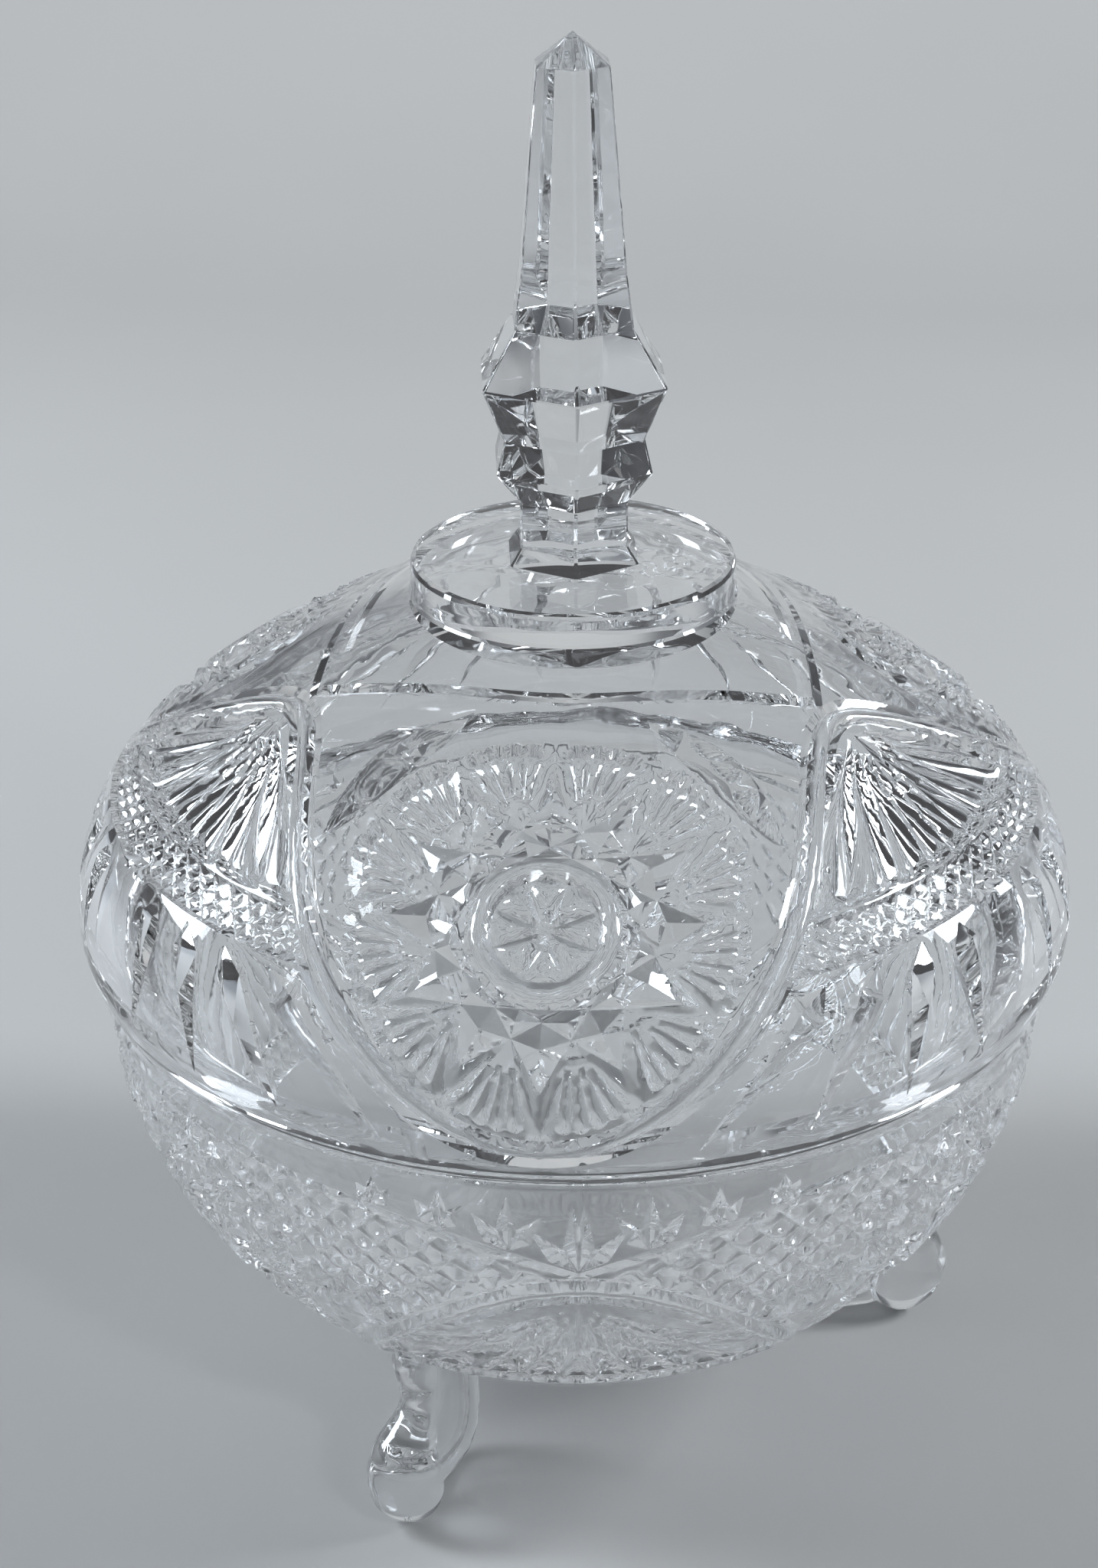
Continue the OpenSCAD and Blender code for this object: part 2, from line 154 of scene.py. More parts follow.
COLLAR_TURN = math.acos((COLLAR_R - CROWN_C[0]) / CROWN_R)
print("lid profile runs %.1f mm from belly to collar" % (SHOULDER_L + CROWN_R * (COLLAR_TURN - CROWN_TURN)))

# %% [markdown]
# ## The cut pattern, one sixth at a time
# Three large panels with a twelve-pointed star stand round the lid, framed by a smooth raised wave. Under
# each crest of the wave a fan of flutes opens towards the rim. A displaced surface would blur the edges of
# such cuts, and Booleans would need hundreds of wedges. So the pattern has two halves that belong together:
# a function that says how deep the glass is cut at a place, and the lines along which cuts meet, which the
# mesh follows so that the edges stay crisp. The pattern mirrors itself every 60 degrees, so one sixth is
# enough.

# %% Lines and the frame wave
WAVE = 50.5
TOP_ARC = 63.8
TOP_DIP = 10.3
RIDGE_HALF = 1.4
GROOVE_DEEP, GROOVE_IN, GROOVE_OUT = 1.1, 1.2, 0.8
LIP = 0.9
PANEL = 0.5
LAND, LAND_END = 0.15, -4.5


def polar(rho, degrees):
    """Places at a distance from a middle, in a direction counted from the side upwards."""
    a = np.radians(degrees)
    return np.stack([rho * np.cos(a), rho * np.sin(a)], -1)


def track(a, b, step=0.7):
    """Points along a straight line, about a step apart."""
    a, b = np.asarray(a, float), np.asarray(b, float)
    n = max(1, math.ceil(np.hypot(*(b - a)) / step))
    return a + (b - a) * np.linspace(0, 1, n + 1)[:, None]


def kept(line, inside):
    """The runs of a line that lie where a test holds."""
    cuts = np.flatnonzero(np.diff(inside.astype(int))) + 1
    return [run for run, ok in zip(np.split(line, cuts), np.split(inside, cuts)) if ok[0] and len(run) > 1]


def wave(phi):
    """Height of the frame wave and its rise per radian."""
    return WAVE / 2 * (1 - np.cos(3 * phi)), WAVE * 1.5 * np.sin(3 * phi)


def top_arc(phi):
    """Height of the arc that closes a panel at the top, and its rise per radian."""
    part = np.abs(phi) / SIXTH
    return TOP_ARC - TOP_DIP * part**3, -3 * TOP_DIP / SIXTH * part**2


def off_curve(curve, phi, v, r):
    """Distance of a place below a curve, measured square to it."""
    height, rise = curve(phi)
    return (height - v) / np.sqrt(1 + (rise / r) ** 2)


def in_flat(curve, profile, line):
    """The same for points of a line in the flat of one sixth."""
    r = profile(line[:, 1])[0]
    return off_curve(curve, line[:, 0] / r, line[:, 1], r)


def beside(curve, offset, profile, start=0.0, end=SIXTH, count=110):
    """A line that keeps a distance below a curve, in the flat of one sixth."""
    phi = np.linspace(start, end, count)
    v = curve(phi)[0] - offset
    for _ in range(6):
        v = v + off_curve(curve, phi, v, profile(v)[0]) - offset
    return np.stack([profile(v)[0] * phi, v], -1)


print("frame wave rises %.1f mm, panel top at %.1f mm" % (WAVE, TOP_ARC))

# %% [markdown]
# ## The star
# Twelve straight mitre cuts, each joining two points four places apart, make a star whose cells are kites
# and triangles. Where two sloping cuts meet, each cell becomes a low pyramid, and its edges are the mirror
# lines of the star. A ring with an eight-petalled button fills the middle, and a shell of four petals sits
# in every notch. The lower half of the star is drawn out a little on its way round the belly.

# %% The star's lines
STAR_V, BOWL_STAR_V = 29.6, 35.0
STAR_R = 20.9
STAR_DEEP = 1.9
STAR_BEND = 2 * STAR_R
HALF = STAR_R / 2
IN_1, IN_2, IN_3 = (HALF / math.cos(math.radians(15 * k)) for k in (1, 2, 3))
TIP_TOP = STAR_R / (math.cos(math.radians(30)) + math.cos(math.radians(60)))
KITE_TOP = STAR_R / (math.cos(math.radians(15)) + math.cos(math.radians(45)))
WEDGE_TOP = STAR_R / (1 + math.cos(math.radians(30)))
PETAL_L = 10.2
PETAL_ROUND = 0.9
PETAL_DEG = 13.0
VALLEY = 0.7
SHELL_EDGE = 1.5
BUTTON_R, BUTTON_EYE = 7.0, 0.8
RING_R = 9.9


def drawn_out(w):
    """Distance along the glass for a height above or below the star's middle."""
    return np.where(w < 0, STAR_BEND * np.arcsin(np.clip(w / STAR_BEND, -1, 0)), w)


def drawn_in(along):
    """The way back, from a distance along the glass to a height on the star."""
    return np.where(along < 0, STAR_BEND * np.sin(np.clip(along / STAR_BEND, -1.5, 0)), along)


def shell(notch, q, psi):
    """A place in the shell of one notch, q from the notch and psi degrees off its middle."""
    return polar(IN_3, notch) + polar(q, notch + psi)


def star_lines():
    """Every line of the star about its middle, in the flat."""
    lines = []
    for point in range(0, 360, 30):
        notch = point + 15
        for side in (-15, 15):
            lines.append(track(polar(IN_1, point + side), polar(IN_2, point)))
            lines.append(track(polar(IN_2, point), polar(IN_3, point + side)))
            lines.append(track(polar(IN_3, point + side), polar(STAR_R, point)))
            lines.append(track(polar(TIP_TOP, point), polar(IN_3, point + side)))
            lines.append(track(polar(WEDGE_TOP, point), polar(IN_1, point + side)))
            lines.append(track(polar(KITE_TOP, point + side), polar(IN_2, point)))
            for k in (1, 2):
                lines.append(track(shell(notch, 0, 0), shell(notch, PETAL_L, k * PETAL_DEG * np.sign(side))))
        lines.append(track(polar(IN_1, point - 15), polar(IN_1, point + 15)))
        lines.append(track(polar(HALF, point), polar(STAR_R, point)))
        lines.append(track(polar(IN_1, notch), polar(IN_3 + PETAL_L, notch)))
        for middle in (-1.5, -0.5, 0.5, 1.5):
            t = np.linspace(-1, 1, 13)
            end = PETAL_L + PETAL_ROUND * np.sqrt(1 - t**2)
            for q in (end, end + SHELL_EDGE):
                arc = shell(notch, q, (middle + t / 2) * PETAL_DEG)
                off = (np.degrees(np.arctan2(arc[:, 1], arc[:, 0])) - notch + 180) % 360 - 180
                lines += kept(arc, np.abs(off) <= 15)
    for rho in (BUTTON_R, RING_R):
        lines.append(polar(rho, np.linspace(0, 360, 91)))
    for petal in np.arange(0, 360, 22.5):
        lines.append(track(polar(BUTTON_EYE, petal), polar(BUTTON_R, petal)))
    return lines


print("star of radius %.1f mm from %d lines" % (STAR_R, len(star_lines())))

# %% [markdown]
# ## The star's depths
# On the real jar the points of the star stand almost at the surface, and the cells sink towards the ring.
# Here each kind of cell gets the height of its peak, and the slopes follow from its edges. The petals are
# rounded, as moulded glass is, and the plain ground rises again between the shells.

# %% How deep the star is cut
TIP_SUNK, KITE_SUNK, WEDGE_SUNK, PETAL_SUNK = 0.2, 0.6, 1.0, 0.35
TIP_RUN = TIP_TOP * math.cos(math.radians(30)) - HALF
KITE_RUN = KITE_TOP * math.cos(math.radians(15)) - HALF
WEDGE_RUN = WEDGE_TOP - HALF
PETAL_EASE = 3
BUTTON_LOW, BUTTON_RISE, BUTTON_LEAN = 0.4, 1.1, 1.3
MOAT, RING_RISE = 0.6, 1.1
EDGE_STEEP = 0.9


def star_relief(u, w):
    """Relief of the star panel, u to the side and w up from the middle of the star."""
    rho = np.hypot(u, w)
    around = np.degrees(np.arctan2(w, u))
    alpha = np.abs((around + 15) % 30 - 15)

    def beyond(turn):
        return rho * np.cos(np.radians(alpha - turn)) - HALF

    first, second, back, edge = beyond(0), beyond(30), beyond(-30), beyond(60)
    tip = np.minimum(back, -edge) * (STAR_DEEP - TIP_SUNK) / TIP_RUN
    kite = np.minimum(second, -back) * (STAR_DEEP - KITE_SUNK) / KITE_RUN
    wedge = np.minimum(first, -second) * (STAR_DEEP - WEDGE_SUNK) / WEDGE_RUN

    along = rho * np.cos(np.radians(15 - alpha)) - IN_3
    across = rho * np.sin(np.radians(15 - alpha))
    q = np.hypot(along, across)
    psi = np.degrees(np.arctan2(across, along))
    t = psi % PETAL_DEG / PETAL_DEG * 2 - 1
    swell = np.sqrt(np.clip(1 - t**2, 0, 1))
    end = PETAL_L + PETAL_ROUND * swell
    tail = np.sqrt(1 - np.clip((q - end + PETAL_EASE) / PETAL_EASE, 0, 1) ** 2)
    floor = VALLEY * np.clip(q / PETAL_L, 0, 1)
    petal = floor + (STAR_DEEP - PETAL_SUNK - floor) * swell * np.clip(q / PETAL_EASE, 0, 1) * tail
    aside = q * np.sin(np.radians(np.clip(psi - 2 * PETAL_DEG, 0, 90)))
    ramp = np.clip(np.maximum(q - end, aside) / SHELL_EDGE, 0, 1)
    outside = floor + (STAR_DEEP - PANEL - floor) * ramp

    daisy = np.sqrt(1 - (((around + 22.5) % 45 - 22.5) / 22.5) ** 2)
    dome = np.sqrt(np.sin(np.pi * np.clip(rho / BUTTON_R, 0, 1) ** BUTTON_LEAN))
    button = BUTTON_LOW + BUTTON_RISE * daisy * dome
    ring_half = (RING_R - BUTTON_R) / 2
    torus = MOAT + RING_RISE * np.sqrt(np.clip(1 - ((rho - BUTTON_R) / ring_half - 1) ** 2, 0, 1))
    moat = MOAT * np.clip(1 - (rho - RING_R) / (HALF - RING_R), 0, 1)
    middle = np.where(rho < BUTTON_R, button, np.where(rho < RING_R, torus, moat))

    fan = np.minimum(np.where((q > end) | (aside > 0), outside, petal), EDGE_STEEP * edge)
    up = np.select([edge > 0, back > 0, second > 0, first > 0], [fan, tip, kite, wedge], middle)
    return up - STAR_DEEP


print("deepest star cut %.1f mm" % -star_relief(*polar(IN_2, 0)))

# %% [markdown]
# ## The fans
# Below each crest of the wave, hollow flutes spread from one spot and end on one level in a scalloped edge.
# A band of small diamonds follows, and on the lid also long mitre cuts that taper to a point at the rim.

# %% The fan's lines
APEX_V = 47.8
FLUTES = 4.5
FLUTE_DEG = 14.0
FLUTE_END = 27.0
SCALLOP = 0.8
BAND_HIGH, BAND_LOW, BAND_FADE = 26.0, 19.5, 0.5
BAND_REACH = 45
DIAMOND_W, DIAMOND_H = 3.6, 3.25
DIAMOND_ROWS = range(-4, 14)
FAN_CLEAR = 0.4
TAPER_HIGH, TAPER_LOW, TAPER_HALF, TAPER_BACK = 15.3, -0.6, 2.8, 3.5
TAPERS = [(51.5 - 7.5 * k, 52.0 - 12.0 * k) for k in range(4)]


def fan_place(profile, v, theta):
    """A place below the fan's foot, at a height and at an angle off the way straight down."""
    return np.stack([profile(v)[0] * SIXTH - (APEX_V - v) * np.tan(np.radians(theta)), v], -1)


def taper_ends(profile, taper):
    """Widest place and point of a tapered cut, in the flat."""
    return [np.array([profile(v)[0] * math.radians(a), v]) for a, v in zip(taper, (TAPER_HIGH, TAPER_LOW))]


def groove_lines(top, tip, half, back=TAPER_BACK):
    """The bottom of a straight V cut and its four edges."""
    way = (tip - top) / np.hypot(*(tip - top))
    side = np.array([way[1], -way[0]]) * half
    behind = top - way * back
    return [track(behind, tip), *(track(end, top + s) for end in (behind, tip) for s in (side, -side))]


def fan_lines(profile, tapers):
    """Lines of half a fan in the flat, trimmed where they would run into the wave."""
    lines = []
    for k in range(math.ceil(FLUTES)):
        edge = np.full(40, (k + 0.5) * FLUTE_DEG)
        lines.append(fan_place(profile, np.linspace(APEX_V - 1, FLUTE_END, 40), edge))
        t = np.linspace(-1, 1, 21)
        lines.append(fan_place(profile, FLUTE_END - SCALLOP * np.sqrt(1 - t**2), (k + t / 2) * FLUTE_DEG))
    middle = profile(BAND_HIGH)[0] * SIXTH
    for v in (BAND_HIGH, BAND_HIGH - BAND_FADE, BAND_LOW + BAND_FADE, BAND_LOW):
        lines.append(track((middle - BAND_REACH, v), (middle + 1, v)))
    v = np.linspace(BAND_HIGH, BAND_LOW, 15)
    for k in DIAMOND_ROWS:
        for sign in (1, -1):
            across = (k + sign * (BAND_HIGH - v) / DIAMOND_H) * DIAMOND_W
            lines.append(np.stack([profile(v)[0] * SIXTH - across, v], -1))
    clear = RIDGE_HALF + FAN_CLEAR
    lines = [run for line in lines for run in kept(line, in_flat(wave, profile, line) > clear)]
    if tapers:
        for taper in TAPERS:
            lines += groove_lines(*taper_ends(profile, taper), TAPER_HALF)
    return lines


print("%d lines in half a fan of the lid" % len(fan_lines(lid_profile, True)))

# %% [markdown]
# ## The fan's depths
# A flute is hollow like the inside of a pipe, so its depth follows a parabola across and fades where it
# starts and where it ends. The diamonds and the tapered cuts are plain V grooves: their depth falls in a
# straight line from the bottom to the edge. Where cuts overlap, the deeper one wins, as it does under a
# cutting wheel.

# %% The fan's depths
FLUTE_DEEP, FLUTE_START, FLUTE_EASE = 1.7, 9, 2.5
DIAMOND_DEEP = 1.1
TINY = 1e-3


def groove(x, y, top, tip, half, back=TAPER_BACK, slope=0.6):
    """Depth of a straight V cut that is widest near its top and runs out to a point at its tip."""
    way = tip - top
    length = np.hypot(*way)
    way = way / length
    along = (x - top[0]) * way[0] + (y - top[1]) * way[1]
    off = np.abs((x - top[0]) * way[1] - (y - top[1]) * way[0])
    width = half * np.clip(np.minimum(1 - along / length, 1 + along / back), 0, 1)
    return slope * np.clip(width - off, 0, None)


def off_row(x):
    """Distance from the nearest whole number, which is the nearest row of cuts."""
    return np.abs((x + 0.5) % 1 - 0.5)


def fan_relief(profile, phi, v, tapers):
    """Height of half a fan, negative where it is cut."""
    across = profile(v)[0] * (SIXTH - phi)
    drop = np.maximum(APEX_V - v, TINY)
    theta = np.degrees(np.arctan2(across, drop))
    t = (theta / FLUTE_DEG + 0.5) % 1 * 2 - 1
    above = v - FLUTE_END + SCALLOP * np.sqrt(1 - t**2)
    tail = np.sqrt(1 - np.clip(1 - above / FLUTE_EASE, 0, 1) ** 2)
    flute = FLUTE_DEEP * (1 - t**2) * np.clip(np.hypot(across, drop) / FLUTE_START, 0, 1) * tail
    flute = np.where((theta < FLUTES * FLUTE_DEG) & (above > 0), flute, 0)

    level = (BAND_HIGH - v) / DIAMOND_H
    side = across / DIAMOND_W
    near = np.minimum(off_row(side + level), off_row(side - level))
    fade = np.clip((BAND_HIGH - v) / BAND_FADE, 0, 1) * np.clip((v - BAND_LOW) / BAND_FADE, 0, 1)
    cut = np.maximum(flute, DIAMOND_DEEP * (1 - 2 * near) * fade)

    if tapers:
        for taper in TAPERS:
            cut = np.maximum(cut, groove(profile(v)[0] * phi, v, *taper_ends(profile, taper), TAPER_HALF))
    return -LAND * np.clip(v - LAND_END, 0, 1) - cut


print("fan of flutes %.0f mm long, %d tapered cuts a half" % (APEX_V - FLUTE_END, len(TAPERS)))

# %% [markdown]
# ## Corners and sprouts
# In each upper corner of a lid panel the cutter left one long blade-shaped cut, steep towards the star. On
# the bowl those corners are filled with hobnails, which are crossing rows of mitre cuts, and a row of small
# three-leaved sprouts stands on the arc above.

# %% Blades, hobnails and sprouts
BLADE = np.array([(33.0, 6.0), (11.0, 31.0)])
BLADE_W, BLADE_STEEP, BLADE_DEEP = 5.0, 1.4, 2.5
HOBNAIL, HOBNAIL_DEEP = 5.2, 1.2
SPROUTS = 8
SPROUT_L, SPROUT_TOP, LEAF_HALF = 11.0, 66.6, 1.5
SPROUT_LEAST = 4.0
# each leaf of a sprout: lean in degrees, share of the full length
LEAVES = ((0, 1.0), (38, 0.85), (-38, 0.85))
LEAF_WIDEST, LEAF_BACK = 0.4, 0.35
CORNER_LOW, CORNER_FADE = 2, 0.7
ARC_GAP, WAVE_GAP = 1.2, 1.4


def blade(u, w):
    """Depth of the blade-shaped cut, beside the star's middle."""
    length = np.hypot(*(BLADE[1] - BLADE[0]))
    way = (BLADE[1] - BLADE[0]) / length
    along = ((u - BLADE[0][0]) * way[0] + (w - BLADE[0][1]) * way[1]) / length
    out = (u - BLADE[0][0]) * way[1] - (w - BLADE[0][1]) * way[0]
    swell = np.clip(4 * along * (1 - along), TINY, 1)
    fall = np.where(out > 0, 1 - out / (BLADE_W * swell), 1 + out / BLADE_STEEP)
    return BLADE_DEEP * swell * np.clip(fall, 0, 1)


def blade_lines():
    """The bottom of the blade and its two edges, beside the star's middle."""
    t = np.linspace(0, 1, 41)[:, None]
    chord = BLADE[0] + (BLADE[1] - BLADE[0]) * t
    out = (BLADE[1] - BLADE[0])[::-1] * (1, -1) / np.hypot(*(BLADE[1] - BLADE[0]))
    swell = 4 * t * (1 - t)
    ground = np.clip(1 - PANEL / BLADE_DEEP / np.clip(swell, TINY, 1), 0, 1)
    return [chord, chord + out * BLADE_W * swell * ground, chord - out * BLADE_STEEP * ground]


def in_corner(u, w, under_wave, under_arc):
    """How far a place lies inside the hobnails, from 0 at their edge to 1."""
    beyond = np.hypot(u, w) - IN_3 - PETAL_L - PETAL_ROUND - SHELL_EDGE
    over_wave = -under_wave - RIDGE_HALF - WAVE_GAP
    least = np.min([beyond, w - CORNER_LOW, under_arc - ARC_GAP, over_wave], axis=0)
    return np.clip(least / CORNER_FADE, 0, 1)


def hobnails(u, w):
    """Depth of two crossing rows of mitre cuts."""
    near = np.minimum(off_row((u + w) / HOBNAIL), off_row((u - w) / HOBNAIL))
    return HOBNAIL_DEEP * (1 - 2 * near)


def sprout_leaves(profile):
    """Widest place, tip and back of every leaf on the arc, in the flat."""
    leaves = []
    for k in range(SPROUTS + 1):
        phi = SIXTH * k / SPROUTS
        v = top_arc(phi)[0] + LIP
        if SPROUT_TOP - v < SPROUT_LEAST:
            continue
        base = np.array([profile(v)[0] * phi, v])
        for lean, share in LEAVES:
            length = min(SPROUT_L, SPROUT_TOP - v) * share
            way = np.array([math.sin(math.radians(lean)), math.cos(math.radians(lean))])
            leaves.append((base + way * length * LEAF_WIDEST, base + way * length, length * LEAF_BACK))
    return leaves


print("%d leaves above a bowl panel's half" % len(sprout_leaves(bowl_profile)))

# %% [markdown]
# ## Panel, wave and fan together
# The wave is a rounded ridge with a groove on both sides. Inside it lies the sunk star panel, outside it
# the fan. The bowl has the same cuts, hung from its rim, with its star a little higher.

# %% The whole relief
LEAF_SLOPE = 0.8


def relief(profile, star_v, phi, v, on_bowl):
    """Height of the glass at an angle and a distance along a profile, negative where it is cut."""
    r = profile(v)[0]
    u = r * phi
    under_wave = off_curve(wave, phi, v, r)
    under_arc = off_curve(top_arc, phi, v, r)
    panel = star_relief(u, drawn_in(v - star_v))
    crown = np.zeros_like(v)
    if on_bowl:
        corner = in_corner(u, v - star_v, under_wave, under_arc)
        panel = np.minimum(panel, -PANEL - hobnails(u, v - star_v) * corner)
        for widest, tip, back in sprout_leaves(profile):
            crown = np.minimum(crown, -groove(u, v, widest, tip, LEAF_HALF, back, LEAF_SLOPE))
    else:
        panel = np.minimum(panel, -blade(u, v - star_v))
    fan = fan_relief(profile, phi, v, not on_bowl)
    ridge = -GROOVE_DEEP + np.sqrt(np.clip(1 - (under_wave / RIDGE_HALF) ** 2, 0, 1))
    inner = np.clip((-under_wave - RIDGE_HALF) / GROOVE_IN, 0, 1)
    outer = np.clip((under_wave - RIDGE_HALF) / GROOVE_OUT, 0, 1)
    fan_side = -GROOVE_DEEP + (fan + GROOVE_DEEP) * outer
    star_side = -GROOVE_DEEP + (panel + GROOVE_DEEP) * inner
    h = np.where(under_wave > 0, fan_side, star_side)
    h = np.where(np.abs(under_wave) <= RIDGE_HALF, ridge, h)
    lip = np.clip(np.abs(under_arc) / LIP, 0, 1)
    return -LIP + (np.where(under_arc < 0, crown, h) + LIP) * lip


angles, heights = np.meshgrid(np.linspace(0, SIXTH, 60), np.linspace(0, TOP_ARC, 60))
print("cuts of the lid reach %.1f mm deep" % -relief(lid_profile, STAR_V, angles, heights, False).min())

# %% [markdown]
# ## All the lines together
# The mesh needs every line along which two cuts meet, and only as far as it shows: star lines stop short of
# the wave, and hobnail rows keep to their corners. So each line is drawn long, then trimmed to the runs
# that lie where they belong.

# %% All the lines
STAR_CLEAR = 0.3
HOBNAIL_ROWS, HOBNAIL_REACH = range(-12, 20), 62


def cut_lines(profile, star_v, on_bowl):
    """Every line on a sixth along which two cuts meet."""
    star = [np.stack([line[:, 0], star_v + drawn_out(line[:, 1])], -1) for line in star_lines()]
    if not on_bowl:
        star += [line + (0, star_v) for line in blade_lines()]
    star = [run for line in star for run in kept(line, line[:, 0] > -0.5)]
    if on_bowl:
        for k in HOBNAIL_ROWS:
            across = np.arange(0, HOBNAIL_REACH, 0.5)
            for sign in (1, -1):
                line = np.stack([across, sign * (k * HOBNAIL - across)], -1)
                flat = line + (0, star_v)
                place = in_flat(wave, profile, flat), in_flat(top_arc, profile, flat)
                in_sixth = flat[:, 0] < profile(flat[:, 1])[0] * SIXTH
                star += kept(flat, (in_corner(*line.T, *place) > 0) & in_sixth)
    clear = -RIDGE_HALF - STAR_CLEAR
    lines = [run for line in star for run in kept(line, in_flat(wave, profile, line) < clear)]
    ridge = (-RIDGE_HALF - GROOVE_IN, -RIDGE_HALF, RIDGE_HALF, RIDGE_HALF + GROOVE_OUT)
    lines += [beside(wave, offset, profile) for offset in ridge]
    lines += [beside(top_arc, offset, profile) for offset in (-LIP, 0, LIP)]
    lines += fan_lines(profile, not on_bowl)
    if on_bowl:
        for widest, tip, back in sprout_leaves(profile):
            lines += groove_lines(widest, tip, LEAF_HALF, back)
    return lines


print("%d cut lines on a sixth of the lid" % len(cut_lines(lid_profile, STAR_V, False)))

# %% [markdown]
# ## From lines to a mesh
# Blender's constrained triangulation takes the cut lines and a fine grid of other points and joins them
# into triangles that never cross a line. One sixth is meshed in the flat, lifted onto the turned outside,
# mirrored, and repeated round the jar. Edges that lie on a cut line are kept sharp, and all others are
# shaded smooth.

# %% Mesh one sixth
SPACING = 0.85
SIDE_STEP = 0.6
MERGE, MARGIN, SNAP = 1e-3, 1e-4, 1e-5


def flat_sixth(profile, lines, low, high):
    """Triangles of one sixth in the flat: places, faces, and the pairs of places on a cut line."""
    sides = np.arange(low, high, SIDE_STEP)
    sides = np.append(sides, high)
    turn = np.linspace(0, SIXTH, AROUND // 6 + 1)
    frame_lines = [
        np.stack([profile(low)[0] * turn, np.full_like(turn, low)], -1),
        np.stack([profile(high)[0] * turn, np.full_like(turn, high)], -1),
        np.stack([np.zeros_like(sides), sides], -1),
        np.stack([profile(sides)[0] * SIXTH, sides], -1),
    ]
    points, edges = [], []
    for line in lines + frame_lines:
        start = len(points)
        points += [tuple(p) for p in line]
        edges += [(k, k + 1) for k in range(start, start + len(line) - 1)]
    sharp_count = sum(len(line) - 1 for line in lines)
    tree = KDTree(len(points))
    for k, p in enumerate(points):
        tree.insert((*p, 0), k)
    tree.balance()
    rows = np.arange(low + SPACING / 2, high, SPACING * math.sqrt(3) / 2)
    for k, y in enumerate(rows):
        for x in np.arange(SPACING * (0.5 + k % 2 / 2), profile(y)[0] * SIXTH - SPACING * 0.4, SPACING):
            if tree.find((x, y, 0))[2] > SPACING * 0.5:
                points.append((x, y))
    made = geometry.delaunay_2d_cdt([Vector(p) for p in points], edges, [], 0, MERGE)
    flat = np.array([tuple(p) for p in made[0]])
    faces = np.array(made[2])
    middle = flat[faces].mean(1)
    inside = (middle[:, 1] > low) & (middle[:, 1] < high)
    inside &= (middle[:, 0] > MARGIN) & (middle[:, 0] < profile(middle[:, 1])[0] * SIXTH - MARGIN)
    sharp = [pair for pair, ids in zip(made[1], made[4]) if any(k < sharp_count for k in ids)]
    return flat, faces[inside], np.array(sharp)


def turned_skin(profile, star_v, low, high, on_bowl):
    """The whole cut outside: points, triangles and sharp pairs."""
    flat, faces, sharp = flat_sixth(profile, cut_lines(profile, star_v, on_bowl), low, high)
    v = flat[:, 1]
    phi = flat[:, 0] / profile(v)[0]
    phi = np.where(np.abs(phi) < SNAP, 0, np.where(np.abs(phi - SIXTH) < 2 * SNAP, SIXTH, phi))
    h = relief(profile, star_v, phi, v, on_bowl)
    points, triangles, pairs = [], [], []
    for turn in range(3):
        for sign in (1, -1):
            start = len(points) * len(flat)
            points.append(on_skin(profile, sign * phi + turn * 2 * SIXTH, v, h))
            triangles.append((faces if sign > 0 else faces[:, ::-1]) + start)
            pairs.append(sharp + start)
    return np.concatenate(points), np.concatenate(triangles), np.concatenate(pairs)


print("points about %.2f mm apart, %d round the jar" % (SPACING, AROUND))

# %% [markdown]
# ## Rings round the jar
# Everything that isn't cut is a stack of rings: the lid's edge and inside, the collar, and the six-sided
# spire, whose rings are hexagons. Neighbouring rings are joined by a strip of quads.

# %% Rings
TURN = np.arange(AROUND) * 2 * math.pi / AROUND


def ring(r, z):
    """A level ring of points round the axis."""
    r = np.broadcast_to(r, TURN.shape)
    return np.stack([r * np.sin(TURN), -r * np.cos(TURN), np.full_like(TURN, z)], -1)


def arc_rings(centre, radius, start, end, count):
    """Rings along an arc of the profile, between two facing angles."""
    turns = np.linspace(start, end, count)
    return [ring(centre[0] + radius * math.cos(a), centre[1] + radius * math.sin(a)) for a in turns]


def strips(rings):
    """Points and quads of a stack of rings, facing outwards when the stack rises on the outside."""
    n = len(TURN)
    points = np.concatenate(rings)
    k = np.arange(n)
    strip = np.stack([k, (k + 1) % n, n + (k + 1) % n, n + k], -1)
    return points, np.concatenate([strip + i * n for i in range(len(rings) - 1)])


print("a ring round the jar has %d points" % len(TURN))

# %% [markdown]
# ## One closed skin of glass
# Light bends rightly only in glass that is closed, with no seam left open. So the cut skin, the rings and
# the end points are joined into one mesh, and points that fall in the same place become one. Edges on a cut
# line stay sharp, and on the rings an edge is sharp where it turns by more than a set angle. Counting the
# open edges shows that nothing gapes.

# %% Closed glass


